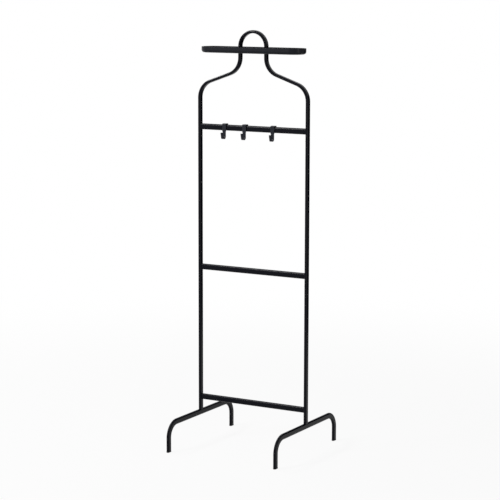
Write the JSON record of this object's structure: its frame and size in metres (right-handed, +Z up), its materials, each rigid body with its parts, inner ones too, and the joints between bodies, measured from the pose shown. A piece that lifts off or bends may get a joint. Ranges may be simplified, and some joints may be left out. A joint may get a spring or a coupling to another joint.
{
  "type": "valet stand",
  "caption": "Free-standing clothes valet of bent flat-oval steel tube: hanger-shaped top with a loop, a slim tray on the neck, cross rails, sliding clip-on hooks and arched feet.",
  "frame": {"origin": "on the floor, under the middle of the stand", "axes": "+Z up, +X along the rails to the right as seen from the front, -Y to the front"},
  "size_m": [0.4148, 0.4328, 1.39],
  "materials": {
    "frame_steel": "black semi-gloss powder coat",
    "tray_plastic": "fine-textured black polypropylene",
    "hook_plastic": "satin black nylon",
    "glide_plastic": "matt black polyethylene",
    "plug_plastic": "matt black nylon",
    "screw_steel": "black oxide"
  },
  "bodies": {
    "stand": {"hanger_tube": "frame_steel", "upper_rail": "frame_steel", "middle_rail": "frame_steel", "lower_rail": "frame_steel", "left_middle_upright": "frame_steel", "left_lower_upright": "frame_steel", "left_foot": "frame_steel", "right_middle_upright": "frame_steel", "right_lower_upright": "frame_steel", "right_foot": "frame_steel", "upper_left_joint_plug": "plug_plastic", "upper_right_joint_plug": "plug_plastic", "lower_left_joint_plug": "plug_plastic", "lower_right_joint_plug": "plug_plastic", "left_foot_plug": "plug_plastic", "right_foot_plug": "plug_plastic", "front_left_glide": "glide_plastic", "front_right_glide": "glide_plastic", "back_left_glide": "glide_plastic", "back_right_glide": "glide_plastic", "joint_screws": "screw_steel", "foot_bolts": "screw_steel", "foot_saddles": "screw_steel", "tray_screws": "screw_steel", "tray": "tray_plastic"},
    "left_hook": {"left_hook": "hook_plastic"},
    "middle_hook": {"middle_hook": "hook_plastic"},
    "right_hook": {"right_hook": "hook_plastic"}
  },
  "joints": [
    {"name": "left_hook_slide", "type": "slide", "parent": "stand", "child": "left_hook", "axis": [1, 0, 0], "range_m": [-0.08, 0.03]},
    {"name": "middle_hook_slide", "type": "slide", "parent": "stand", "child": "middle_hook", "axis": [1, 0, 0], "range_m": [-0.03, 0.045]},
    {"name": "right_hook_slide", "type": "slide", "parent": "stand", "child": "right_hook", "axis": [1, 0, 0], "range_m": [-0.045, 0.11]}
  ]
}
